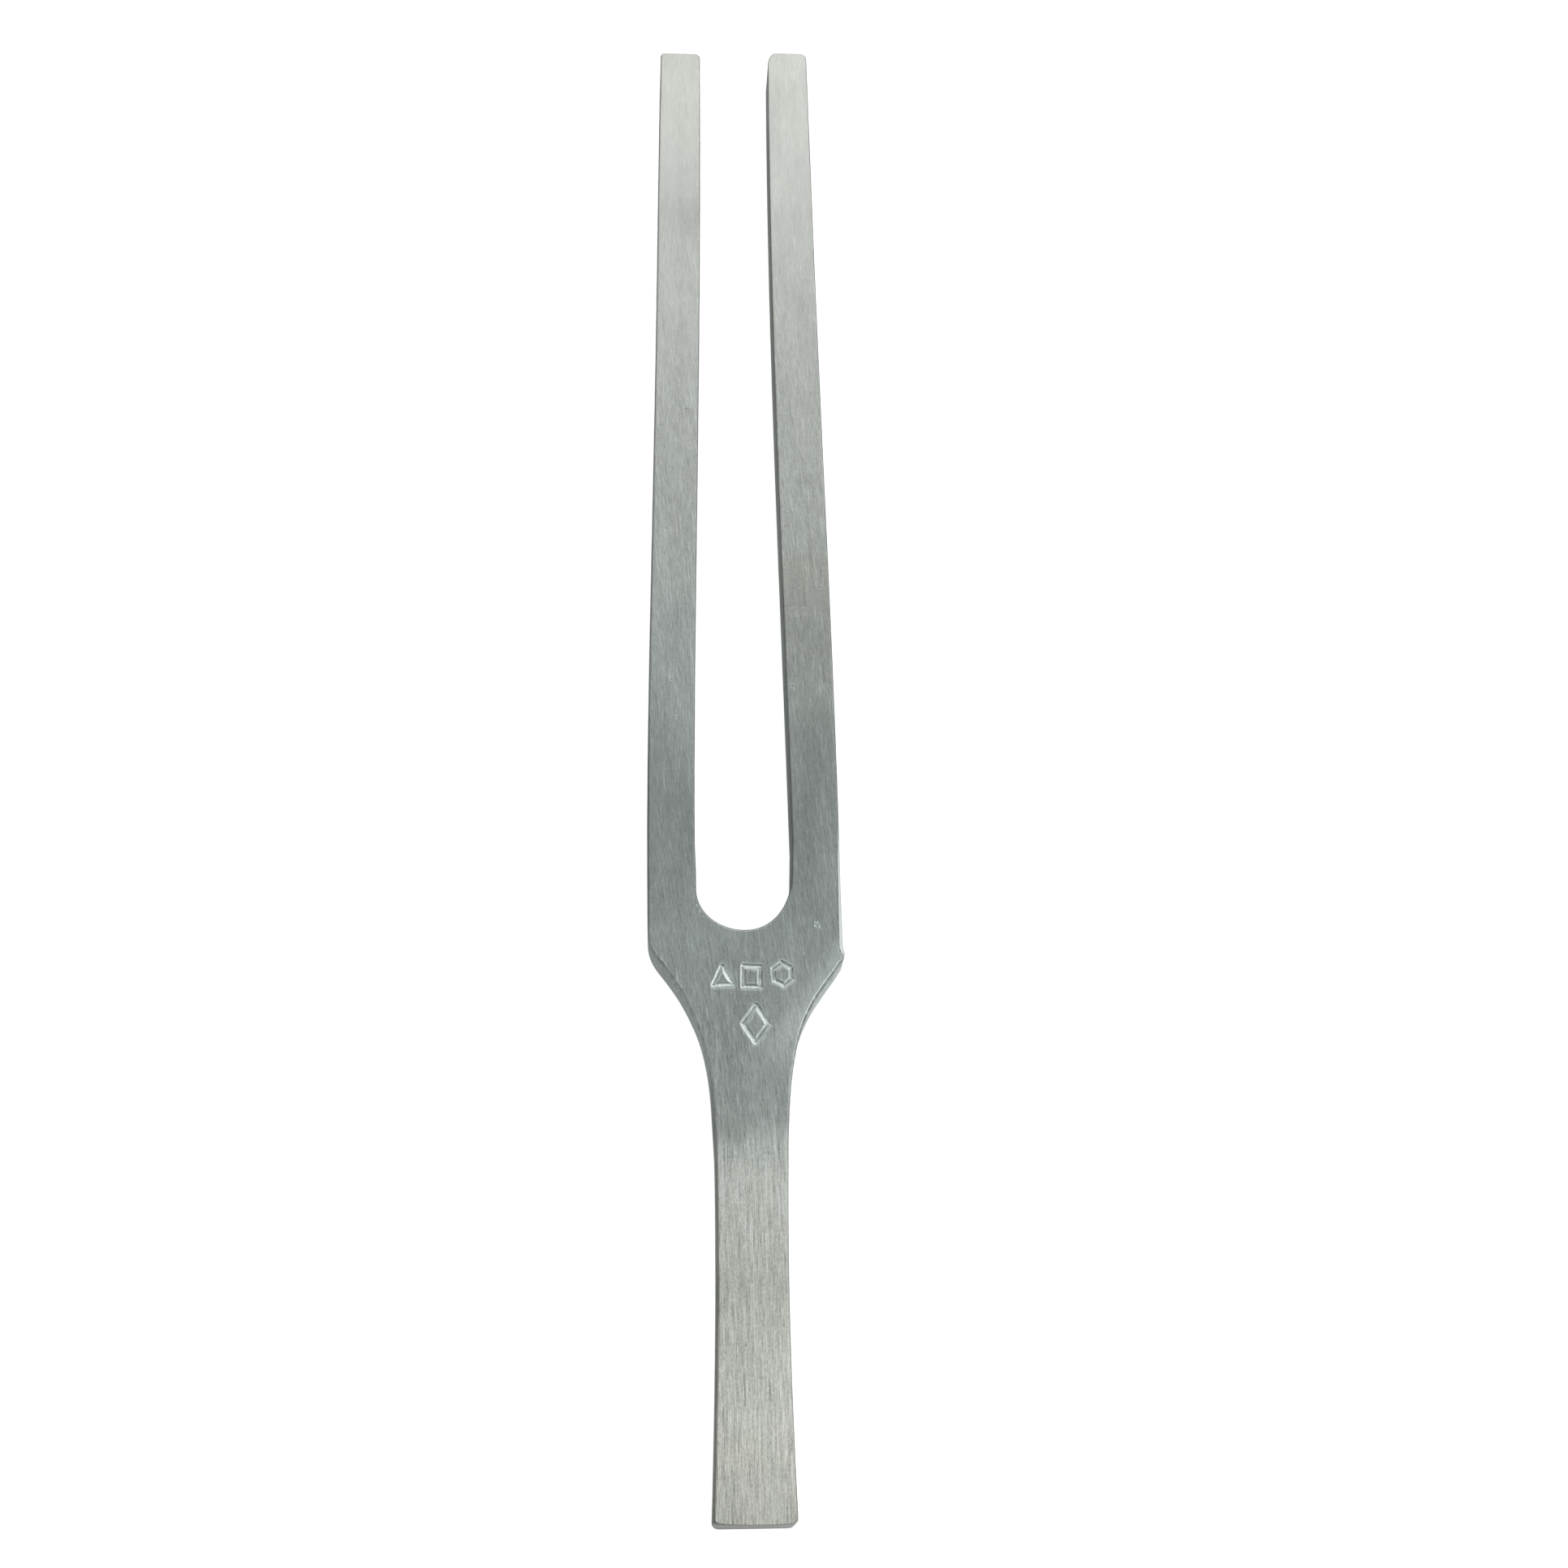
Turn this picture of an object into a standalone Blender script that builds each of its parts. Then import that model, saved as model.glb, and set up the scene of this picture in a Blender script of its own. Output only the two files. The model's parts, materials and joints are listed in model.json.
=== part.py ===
"""Tuning fork of flat aluminium bar, pitched at 256 Hz, lying on its back face.

The real fork is one piece of metal: two tines, the yoke that joins them at the
bottom of the slot, and a flat stem.  Its only motion is the spring of the tines,
which bend towards and away from each other.  So the bar is divided just above the
slot's round end into three solids, the stem with its yoke and the two tines, and
each tine turns about a point close to its own centre line at that height.

Frame: metres.  +X across the fork, +Y along it from the stem to the tips, +Z up
out of the stamped front face.  The back face lies in the plane z = 0, and the
origin is on that face and on the slot's centre line, 8 mm below the slot.
Left is -X and right is +X.
"""
import math
from collections import namedtuple

import bmesh
import bpy

MM = 0.001

# ---- Driving dimensions in millimetres; heights y are from the slot's bottom ----
NAME = "tuning_fork"
THICKNESS = 6.3            # of the bar
SLOT_BOTTOM_Y = 8.0        # from the origin up to the slot's bottom
EDGE_ROUND = 0.35          # softened arris all round both faces
EDGE_SEGMENTS = 2
EDGE_MIN_DEG = 40          # only edges sharper than this are softened
WELD_DISTANCE = 0.01       # closer vertices are merged

# Tines and slot.  A lean is the shares of the tine's length where it starts and ends.
OUTER_ROOT = 12.55         # half width of the bar over the tines, at their roots
OUTER_TIP = 11.2           # and at their tips: the tines lean in slightly
OUTER_LEAN = (0.10, 1.05)
SLOT_ROOT = 6.4            # half width of the slot at its round end
SLOT_TIP = 5.2             # and at its mouth
SLOT_LEAN = (0.02, 0.86)
SLOT_END_DEPTH = 6.2       # height of the round end, slightly flatter than a half circle
SLOT_END_SEGMENTS = 24
TIP_CORNER = 0.7           # corner radius of the square-cut tips
TINE_SEGMENTS = 18         # along each long edge of a tine
CORNER_SEGMENTS = 4        # round each corner of the tips and of the stem's end

# The bending tine is a rigid tine on a hinge just above the slot's round end.
FLEX_HEIGHT = 12.65        # of both hinge axes
FLEX_GAP = 0.3             # clearance between each tine and the yoke
TINE_CENTRE = 9.45         # hinge axis out from the slot's centre line

# The outer edge runs straight up from these heights to the tines' roots.
LEFT_EDGE_FOOT = 2.0
RIGHT_EDGE_FOOT = 0.5
YOKE_EDGE_SEGMENTS = 3
YOKE_SLOT_SEGMENTS = 2     # from the slot's round end up to the gap

# Stem
STEM_END = -72.5           # the square end
STEM_END_HALF = 5.0        # half width there
STEM_WAIST = -44.0         # the narrowest place
STEM_WAIST_HALF = 4.4
STEM_TOP = -29.5           # where the shoulders run out into the stem
STEM_TOP_HALF = 4.55
STEM_OFFSET = 0.38         # the stem sits this far to the right of the slot's centre line
STEM_CORNER = 0.6          # corner radius of the square end
STEM_SEGMENTS = 12

# Shoulders: a corner of the bar, then a ground slope that sweeps into the stem.
SHOULDER_CORNER_SEGMENTS = 6
SHOULDER_SWEEP_SEGMENTS = 20
SWEEP_FOOT_FLARE = 0.04    # outward run per unit of height where the sweep meets the stem

# sign: of x on this side
# corner: the four control points (out from the centre line, height) of its Bezier curve
# sweep_pulls: lengths of the sweep's handles, at the corner (true) and at the stem (in height)
# slope_deg: how steeply the sweep leaves the corner
Side = namedtuple("Side", "tine_name sign tine_length corner sweep_pulls slope_deg")
LEFT = Side(
    tine_name="left_tine", sign=-1, tine_length=140.9,
    corner=((12.5, 0.0), (12.5, -2.2), (11.9, -2.9), (11.04, -4.02)),
    sweep_pulls=(11.5, 9.4), slope_deg=51.6)
RIGHT = Side(
    tine_name="right_tine", sign=1, tine_length=141.4,
    corner=((12.55, -2.2), (12.6, -3.0), (12.75, -3.6), (12.46, -4.07)),
    sweep_pulls=(7.5, 19.2), slope_deg=56.8)

# Shallow plain marks stamped in the front face of the yoke, each a polygon frame.
STAMP_DEPTH = 0.25
STAMP_STROKE = 0.5         # width of the stamped line
STAMP_CUTTER_RISE = 0.5    # the cutters stand this far above the front face
Stamp = namedtuple("Stamp", "sides x y half_width half_height turn_deg")
STAMPS = (
    Stamp(3, -2.86, -6.45, 1.60, 1.75, 90.0),
    Stamp(4, 0.76, -6.30, 1.75, 2.05, 45.0),
    Stamp(6, 4.70, -5.99, 1.45, 1.70, 90.0),
    Stamp(4, 1.19, -12.50, 1.75, 2.55, 90.0),
)

# Satin aluminium, the same metal for all three solids
ALUMINIUM = {"colour": (0.60, 0.61, 0.61, 1.0), "roughness": 0.34, "metallic": 1.0}


# ---- Curves ----
def steps(start, end, count):
    return [start + (end - start) * i / count for i in range(count + 1)]


def bezier(controls, count):
    """Points of the cubic curve with these four control points."""
    points = []
    for t in steps(0.0, 1.0, count):
        rest = 1.0 - t
        weights = (rest ** 3, 3 * rest * rest * t, 3 * rest * t * t, t ** 3)
        points.append(tuple(
            sum(weight * control[axis] for weight, control in zip(weights, controls))
            for axis in (0, 1)))
    return points


def arc(centre_x, centre_y, radius_x, radius_y, start_deg, end_deg, count):
    return [(centre_x + radius_x * math.cos(math.radians(angle)),
             centre_y + radius_y * math.sin(math.radians(angle)))
            for angle in steps(start_deg, end_deg, count)]


def corner_arc(centre_x, centre_y, radius, start_deg):
    """A quarter circle, anticlockwise."""
    return arc(centre_x, centre_y, radius, radius, start_deg, start_deg + 90, CORNER_SEGMENTS)


# ---- Half widths at a height ----
def lean(root, tip, span, share):
    """Ease from root to tip as share crosses the span."""
    t = (share - span[0]) / (span[1] - span[0])
    t = min(1.0, max(0.0, t))
    return root + (tip - root) * (t * t * (3.0 - 2.0 * t))


def outer_half(y, side):
    return lean(OUTER_ROOT, OUTER_TIP, OUTER_LEAN, y / side.tine_length)


def slot_half(y, side):
    return lean(SLOT_ROOT, SLOT_TIP, SLOT_LEAN, y / side.tine_length)


def stem_half(y):
    """Narrowest at the waist, swelling as a parabola to the shoulders and to the end."""
    if y > STEM_WAIST:
        far_y, far_half = STEM_TOP, STEM_TOP_HALF
    else:
        far_y, far_half = STEM_END, STEM_END_HALF
    share = (y - STEM_WAIST) / (far_y - STEM_WAIST)
    return STEM_WAIST_HALF + (far_half - STEM_WAIST_HALF) * share ** 2


# ---- Outlines ----
def shoulder(side):
    """One side's corner and sweep, from the tine down to the stem."""
    start_x, start_y = side.corner[3]
    end_x = stem_half(STEM_TOP) + side.sign * STEM_OFFSET
    corner_pull, stem_pull = side.sweep_pulls
    slope = math.radians(side.slope_deg)
    sweep = (
        (start_x, start_y),
        (start_x - corner_pull * math.cos(slope), start_y - corner_pull * math.sin(slope)),
        (end_x + SWEEP_FOOT_FLARE * stem_pull, STEM_TOP + stem_pull),
        (end_x, STEM_TOP),
    )
    points = bezier(side.corner, SHOULDER_CORNER_SEGMENTS)
    points += bezier(sweep, SHOULDER_SWEEP_SEGMENTS)[1:]
    return [(side.sign * x, y) for x, y in points]


def stem_outline():
    """Down the stem's left edge, round its square end and up its right edge."""
    corner_y = STEM_END + STEM_CORNER
    corner_out = STEM_END_HALF - STEM_CORNER
    heights = steps(STEM_TOP, corner_y, STEM_SEGMENTS)[1:]
    points = [(STEM_OFFSET - stem_half(y), y) for y in heights]
    points += corner_arc(STEM_OFFSET - corner_out, corner_y, STEM_CORNER, 180)[1:]
    points += corner_arc(STEM_OFFSET + corner_out, corner_y, STEM_CORNER, 270)
    points += [(STEM_OFFSET + stem_half(y), y) for y in heights[-2::-1]]
    return points


def yoke_outline():
    """Round the stem and yoke, anticlockwise from the left tine's root."""
    top = FLEX_HEIGHT - FLEX_GAP / 2
    left_heights = steps(top, LEFT_EDGE_FOOT, YOKE_EDGE_SEGMENTS)
    right_heights = steps(RIGHT_EDGE_FOOT, top, YOKE_EDGE_SEGMENTS)
    slot_heights = steps(top, SLOT_END_DEPTH, YOKE_SLOT_SEGMENTS)

    points = [(-outer_half(y, LEFT), y) for y in left_heights]
    points += shoulder(LEFT)
    points += stem_outline()
    points += shoulder(RIGHT)[::-1]
    points += [(outer_half(y, RIGHT), y) for y in right_heights]
    points += [(slot_half(y, RIGHT), y) for y in slot_heights[:-1]]
    points += arc(0.0, SLOT_END_DEPTH, SLOT_ROOT, SLOT_END_DEPTH, 0, -180, SLOT_END_SEGMENTS)
    # The round end's last point already stands at the lowest slot height.
    points += [(-slot_half(y, LEFT), y) for y in
               steps(SLOT_END_DEPTH, top, YOKE_SLOT_SEGMENTS)[1:]]
    return points


def tine_outline(side):
    """Round one tine, anticlockwise seen from the front."""
    corner_y = side.tine_length - TIP_CORNER
    heights = steps(FLEX_HEIGHT + FLEX_GAP / 2, corner_y, TINE_SEGMENTS)
    inner = [(slot_half(y, side), y) for y in heights]
    outer = [(outer_half(y, side), y) for y in heights]
    tip = corner_arc(outer[-1][0] - TIP_CORNER, corner_y, TIP_CORNER, 0)[1:]
    tip += corner_arc(inner[-1][0] + TIP_CORNER, corner_y, TIP_CORNER, 90)[:-1]
    points = outer + tip + inner[::-1]
    return points if side.sign > 0 else [(-x, y) for x, y in points][::-1]


def stamp_ring(stamp, grow):
    points = []
    for i in range(stamp.sides):
        angle = math.radians(stamp.turn_deg + 360.0 * i / stamp.sides)
        points.append((stamp.x + (stamp.half_width + grow) * math.cos(angle),
                       stamp.y + (stamp.half_height + grow) * math.sin(angle)))
    return points


# ---- Blender helpers ----
def collection(name):
    made = bpy.data.collections.new(name)
    bpy.context.scene.collection.children.link(made)
    return made


def material(name, colour, roughness, metallic):
    made = bpy.data.materials.new(name)
    made.use_nodes = True
    shader = made.node_tree.nodes["Principled BSDF"]
    shader.inputs["Base Color"].default_value = colour
    shader.inputs["Roughness"].default_value = roughness
    shader.inputs["Metallic"].default_value = metallic
    made.diffuse_color = colour
    return made


def plate(name, loops, bottom, top, group, pivot=(0.0, 0.0)):
    """A flat solid from z = bottom to top, outlined by loops, with its origin at pivot; in mm.

    The pivot's y is measured from the fork's origin, the loops' from the slot's bottom.
    """
    curve = bpy.data.curves.new(name + "_outline", "CURVE")
    curve.dimensions = "2D"
    curve.fill_mode = "BOTH"
    curve.extrude = (top - bottom) / 2 * MM
    for loop in loops:
        spline = curve.splines.new("POLY")
        spline.points.add(len(loop) - 1)
        for point, (x, y) in zip(spline.points, loop):
            point.co = ((x - pivot[0]) * MM, (y + SLOT_BOTTOM_Y - pivot[1]) * MM, 0.0, 1.0)
        spline.use_cyclic_u = True
    guide = bpy.data.objects.new(name + "_outline", curve)
    guide.location = (pivot[0] * MM, pivot[1] * MM, (bottom + top) / 2 * MM)
    group.objects.link(guide)
    bpy.context.view_layer.update()
    evaluated = guide.evaluated_get(bpy.context.evaluated_depsgraph_get())
    mesh = bpy.data.meshes.new_from_object(evaluated)
    mesh.name = name

    # The filled curve's faces and rim are separate until their vertices are merged.
    work = bmesh.new()
    work.from_mesh(mesh)
    bmesh.ops.remove_doubles(work, verts=work.verts, dist=WELD_DISTANCE * MM)
    bmesh.ops.recalc_face_normals(work, faces=work.faces)
    work.to_mesh(mesh)
    work.free()

    made = bpy.data.objects.new(name, mesh)
    made.matrix_world = guide.matrix_world.copy()
    group.objects.link(made)
    bpy.data.objects.remove(guide)
    bpy.data.curves.remove(curve)
    return made


def bar_piece(name, outline, metal_name, group, pivot=(0.0, 0.0)):
    """A piece of the full bar thickness, in aluminium, with its arrises softened."""
    piece = plate(name, [outline], 0.0, THICKNESS, group, pivot)
    piece.data.materials.append(material(metal_name, **ALUMINIUM))
    bevel = piece.modifiers.new("softened_arris", "BEVEL")
    bevel.width = EDGE_ROUND * MM
    bevel.segments = EDGE_SEGMENTS
    bevel.limit_method = "ANGLE"
    bevel.angle_limit = math.radians(EDGE_MIN_DEG)
    bevel.use_clamp_overlap = True
    return piece


# ---- Pieces ----
def stamp_cutter(name, stamp, group):
    """A polygon frame that reaches STAMP_DEPTH into the front face."""
    inset = STAMP_STROKE / math.cos(math.pi / stamp.sides)
    loops = [stamp_ring(stamp, 0.0), stamp_ring(stamp, -inset)[::-1]]
    cutter = plate(name, loops, THICKNESS - STAMP_DEPTH, THICKNESS + STAMP_CUTTER_RISE, group)
    cutter.hide_render = True
    cutter.display_type = "WIRE"
    return cutter


def stem_and_yoke(parts, cutters):
    yoke = bar_piece("stem_and_yoke", yoke_outline(), "satin_aluminium_stem", parts)
    for index, stamp in enumerate(STAMPS):
        name = "stamp_%d" % index
        cut = yoke.modifiers.new(name, "BOOLEAN")
        cut.operation = "DIFFERENCE"
        cut.solver = "EXACT"
        cut.object = stamp_cutter(name, stamp, cutters)


def tine(side, parts):
    """One tine, with its origin on its hinge axis."""
    pivot = (side.sign * TINE_CENTRE, SLOT_BOTTOM_Y + FLEX_HEIGHT)
    metal_name = "satin_aluminium_" + side.tine_name
    bar_piece(side.tine_name, tine_outline(side), metal_name, parts, pivot)


def build():
    for old in list(bpy.data.objects):
        bpy.data.objects.remove(old, do_unlink=True)
    parts = collection(NAME)
    cutters = collection(NAME + "_cutters")
    stem_and_yoke(parts, cutters)
    for side in (LEFT, RIGHT):
        tine(side, parts)


build()
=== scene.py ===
"""It lies flat on the floor: +X right, +Y from the stem to the tips, +Z up out of the marked top
face.  Its outline comes from half widths along the tines and the stem; the mesh is a stack of
rings round it (wall, rounded arris, flat face), with finely divided faces where marks are
stamped or the metal is dented.  It is then divided at the two flexures.  Lengths are in
millimetres until the mesh is made; heights y are
from the slot's bottom unless a comment says otherwise.
"""
import json
import math
from types import SimpleNamespace

import bmesh
import bpy
import numpy as np
from mathutils import Euler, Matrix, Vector, noise
from mathutils.geometry import delaunay_2d_cdt


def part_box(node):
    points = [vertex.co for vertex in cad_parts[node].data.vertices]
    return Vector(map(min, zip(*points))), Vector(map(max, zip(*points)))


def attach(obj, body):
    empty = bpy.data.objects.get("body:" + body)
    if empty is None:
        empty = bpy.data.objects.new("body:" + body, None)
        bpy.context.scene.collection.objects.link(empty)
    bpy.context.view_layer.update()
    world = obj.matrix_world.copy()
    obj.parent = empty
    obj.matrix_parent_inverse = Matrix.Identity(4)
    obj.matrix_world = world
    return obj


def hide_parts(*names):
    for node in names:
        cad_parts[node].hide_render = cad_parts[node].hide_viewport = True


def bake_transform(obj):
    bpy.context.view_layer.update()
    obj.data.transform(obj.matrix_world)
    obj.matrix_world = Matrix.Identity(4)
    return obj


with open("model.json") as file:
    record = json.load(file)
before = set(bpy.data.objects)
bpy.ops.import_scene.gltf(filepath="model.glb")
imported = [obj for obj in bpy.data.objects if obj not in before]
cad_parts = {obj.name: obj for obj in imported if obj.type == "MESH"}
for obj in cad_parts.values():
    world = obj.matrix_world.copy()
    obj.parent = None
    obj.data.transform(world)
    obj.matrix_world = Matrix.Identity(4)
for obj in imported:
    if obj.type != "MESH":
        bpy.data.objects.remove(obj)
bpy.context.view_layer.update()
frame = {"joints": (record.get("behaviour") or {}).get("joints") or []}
MM = 0.001

yoke_low, yoke_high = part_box("stem_and_yoke")
left_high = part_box("left_tine")[1]
right_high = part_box("right_tine")[1]
hinge = {joint["name"]: Vector(joint["pos_m"]) for joint in frame["joints"]}
THICK = (yoke_high.z - yoke_low.z) / MM
STEM_END = -72.5
SLOT_Y = yoke_low.y / MM - STEM_END      # the slot's bottom in the frame's own y
TIP_EXTRA = 0.15                         # each tine stands this much above its CAD box
LEFT_TIP = left_high.y / MM - SLOT_Y + TIP_EXTRA
RIGHT_TIP = right_high.y / MM - SLOT_Y + TIP_EXTRA

# ------------------------------------------------------------------ outline
# half widths from x = 0 at five stations, at quarters of TINE_SPAN from the slot's bottom up
TINE_SPAN = 142.0
OUTER_LEFT = (12.46, 12.45, 11.91, 11.47, 11.03)
SLOT_LEFT = (6.30, 6.23, 5.68, 5.23, 5.04)
SLOT_RIGHT = (6.50, 6.02, 5.47, 5.18, 5.36)
OUTER_RIGHT = (12.34, 12.43, 11.98, 11.56, 11.26)
# half widths at four stations down the stem
STEM_FROM, STEM_STEP = -28.4, -14.2
STEM_LEFT = (4.02, 3.98, 4.20, 4.62)
STEM_RIGHT = (5.09, 4.81, 4.91, 5.27)
# Bezier controls (half width, y) of each shoulder: its corner, then its sweep to the stem
LEFT_CORNER = ((12.46, 0.0), (12.45, -1.9), (11.75, -3.0), (11.04, -4.02))
LEFT_SWEEP = ((11.04, -4.02), (3.88, -13.07), (4.58, -19.61), (4.01, -28.97))
RIGHT_CORNER = ((12.74, -2.5), (12.84, -2.95), (13.02, -3.30), (12.46, -4.07))
RIGHT_SWEEP = ((12.46, -4.07), (8.35, -10.36), (5.37, -11.20), (5.02, -30.38))
RIGHT_CORNER_Y = RIGHT_CORNER[0][1]
# the slot's round end, each side: centre height, height of the quarter, narrowing above it
ROUND_RIGHT = (8.4, 8.35, 0.19)
ROUND_LEFT = (5.6, 5.55, 0.13)
# corner radii
STEM_ROUND = 0.75
LEFT_TIP_OUTER, LEFT_TIP_INNER = 0.6, 0.8
RIGHT_TIP_OUTER, RIGHT_TIP_INNER = (0.95, 1.0), (1.15, 2.6)      # across, along


def through(values, place):
    """The smooth curve through equally spaced values, at place counted in steps."""
    total = 0.0
    for i, term in enumerate(values):
        for j in range(len(values)):
            if j != i:
                term *= (place - j) / (i - j)
        total += term
    return total


def tine(values, y):
    return through(values, y / TINE_SPAN * 4)


def stem(values, y):
    return through(values, (y - STEM_FROM) / STEM_STEP)


def steps(start, end, gap=0.1):
    count = max(1, int(math.ceil(abs(end - start) / gap)))
    return [start + (end - start) * i / count for i in range(count + 1)]


def bezier(controls, count):
    points = []
    for i in range(count + 1):
        far = i / count
        near = 1 - far
        points.append(tuple(near ** 3 * a + 3 * near * near * far * b
                            + 3 * near * far * far * c + far ** 3 * d
                            for a, b, c, d in zip(*controls)))
    return points


def corner(x, y, across, along, start, end, count=14, full=1.0):
    """An elliptical arc between two angles; full above 1 fills its corners out a little."""
    points = []
    for angle in steps(start, end, abs(end - start) / count):
        cos, sin = math.cos(math.radians(angle)), math.sin(math.radians(angle))
        points.append((x + across * math.copysign(abs(cos) ** (1 / full), cos),
                       y + along * math.copysign(abs(sin) ** (1 / full), sin)))
    return points


def slot_side(values, y, close):
    """The slot's side, which closes in slightly just above the round end."""
    return tine(values, y) - close * min(1.0, max(0.0, (12.0 - y) / 4.0))


def right_edge(y):
    """The right tine's outer edge, which swells a little towards the shoulder."""
    return tine(OUTER_RIGHT, y) + 0.36 * math.exp(-(y - RIGHT_CORNER_Y) / 8.0)


def outline():
    """Dense anticlockwise loop: left side down, stem end, right side up, slot, left tip."""
    loop = [(-tine(OUTER_LEFT, y), y) for y in steps(LEFT_TIP - LEFT_TIP_OUTER, 0.0)]
    loop += [(-x, y) for x, y in bezier(LEFT_CORNER, 60)[1:]]
    loop += [(-x, y) for x, y in bezier(LEFT_SWEEP, 260)[1:]]

    radius = STEM_ROUND
    low = STEM_END + radius
    loop += [(-stem(STEM_LEFT, y), y) for y in steps(LEFT_SWEEP[-1][1], low)[1:]]
    left, right = -stem(STEM_LEFT, low), stem(STEM_RIGHT, low)
    loop += corner(left + radius, low, radius, radius, 180, 270)[1:]
    loop += [(x, STEM_END) for x in steps(left + radius, right - radius)[1:]]
    loop += corner(right - radius, low, radius, radius, 270, 360)[1:]
    loop += [(stem(STEM_RIGHT, y), y) for y in steps(low, RIGHT_SWEEP[-1][1])[1:]]

    loop += bezier(RIGHT_SWEEP, 260)[::-1][1:]
    loop += bezier(RIGHT_CORNER, 40)[::-1][1:]
    across, along = RIGHT_TIP_OUTER
    high = RIGHT_TIP - along
    loop += [(right_edge(y), y) for y in steps(RIGHT_CORNER_Y, high)[1:]]
    outer = right_edge(high) - across
    loop += corner(outer, high, across, along, 0, 90)[1:]
    across, along = RIGHT_TIP_INNER
    high = RIGHT_TIP - along
    inner = tine(SLOT_RIGHT, high) + across
    loop += [(x, RIGHT_TIP) for x in steps(outer, inner)[1:]]
    loop += corner(inner, high, across, along, 90, 180)[1:]

    base, tall, close = ROUND_RIGHT
    loop += [(slot_side(SLOT_RIGHT, y, close), y) for y in steps(high, base)[1:]]
    loop += corner(0.0, base, slot_side(SLOT_RIGHT, base, close), tall, 0, -90, 120, 1.07)[1:]
    base, tall, close = ROUND_LEFT
    loop += corner(0.0, base, slot_side(SLOT_LEFT, base, close), tall, -90, -180, 120)[1:]
    high = LEFT_TIP - LEFT_TIP_INNER
    loop += [(-slot_side(SLOT_LEFT, y, close), y) for y in steps(base, high)[1:]]

    radius = LEFT_TIP_INNER
    inner = -tine(SLOT_LEFT, high) - radius
    loop += corner(inner, high, radius, radius, 0, 90)[1:]
    radius = LEFT_TIP_OUTER
    outer = -tine(OUTER_LEFT, LEFT_TIP - radius) + radius
    loop += [(x, LEFT_TIP) for x in steps(inner, outer)[1:]]
    loop += corner(outer, LEFT_TIP - radius, radius, radius, 90, 180)[1:-1]
    return np.array(loop)


def resample(loop, gap=0.8, turn=0.11):
    """Fewer points on the straights and more round the bends."""
    edge = np.roll(loop, -1, 0) - loop
    length = np.hypot(edge[:, 0], edge[:, 1])
    keep = length > 1e-6
    loop, edge, length = loop[keep], edge[keep], length[keep]
    heading = np.unwrap(np.arctan2(edge[:, 1], edge[:, 0]))
    bend = np.abs(np.diff(np.r_[heading, heading[0] + 2 * math.pi]))
    bend = np.convolve(np.r_[bend[-6:], bend, bend[:6]], np.ones(9) / 9, "same")[6:-6]
    cost = np.r_[0, np.cumsum(length / gap + bend / turn)]
    count = int(round(cost[-1]))
    closed = np.vstack([loop, loop[:1]])
    place = np.arange(count) * cost[-1] / count
    return np.c_[np.interp(place, cost, closed[:, 0]), np.interp(place, cost, closed[:, 1])]


def normals(loop):
    """Outward normals of an anticlockwise loop, stretched so an offset keeps its distance."""
    before, after = loop - np.roll(loop, 1, 0), np.roll(loop, -1, 0) - loop
    before /= np.hypot(before[:, 0], before[:, 1])[:, None]
    after /= np.hypot(after[:, 0], after[:, 1])[:, None]
    square = np.c_[after[:, 1], -after[:, 0]]
    out = np.c_[before[:, 1], -before[:, 0]] + square
    out /= np.hypot(out[:, 0], out[:, 1])[:, None]
    return out / np.clip((out * square).sum(1), 0.7, 1)[:, None]


def wobble(x, y, z, seed, size):
    return noise.noise(Vector((x / size + seed * 7.3, y / size - seed * 3.1, z / size + seed)))


def arris(loop, top):
    """Radius of the rounded edge at each outline point; it wanders like hand filing."""
    radii = []
    for x, y in loop:
        def vary(mean, swing, seed, size, z=0):
            return mean + swing * wobble(x, y, z, seed, size)

        radius = vary(0.30, 0.06, seed=2, size=6.0, z=0 if top else 9)
        if -30 < y < -3.6 and abs(x) > 3.5:          # fuller on the shoulders
            radius += vary(0.10, 0.07, seed=5, size=2.2)
        if 3 < x < 7.5 and y > 6:                    # the slot's right side
            radius = vary(0.22, 0.05, seed=8, size=3.0)
        if y < -20 and x < 0:                        # the stem's left side
            radius = vary(0.46, 0.08, seed=9, size=4.0)
        if y > LEFT_TIP - 0.3:
            radius = 0.34
        if y < STEM_END + 1.2 and -3.2 < x < 4.2:    # the stem's end
            radius = vary(0.15, 0.03, seed=6, size=2.0)
        radii.append(radius if top else radius * 0.9)
    radii = np.array(radii)
    for _ in range(6):
        radii = (np.roll(radii, 1) + radii * 2 + np.roll(radii, -1)) / 4
    if top:      # a filed strip that widens down the right tine and stops at the shoulder
        stop = -3.05
        for i, (x, y) in enumerate(loop):
            if x > 11.5 and -4.2 < y < 15:
                wide = 0.22 + 0.42 * ((15 - y) / 18.0)
                radii[i] = wide if y > stop else max(0.16, wide - (stop - y) * 1.3)
    return radii


# ------------------------------------------------------------------ stamped marks and dents
def stamped_mark(shape, half, depth, tilt):
    """A closed groove along a polygon, with its sides and centre."""
    sides, x, y, across, along, turn, lean = shape
    cos, sin = math.cos(math.radians(lean)), math.sin(math.radians(lean))
    path = []
    for i in range(sides):
        angle = math.radians(turn + 360.0 * i / sides)
        right, up = across * math.cos(angle), along * math.sin(angle)
        path.append((x + right * cos - up * sin, y + right * sin + up * cos))
    return SimpleNamespace(
        path=path, sides=list(zip(path, path[1:] + path[:1])), half=half, depth=depth, tilt=tilt,
        centre=(np.mean([point[0] for point in path]), np.mean([point[1] for point in path])))


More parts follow.
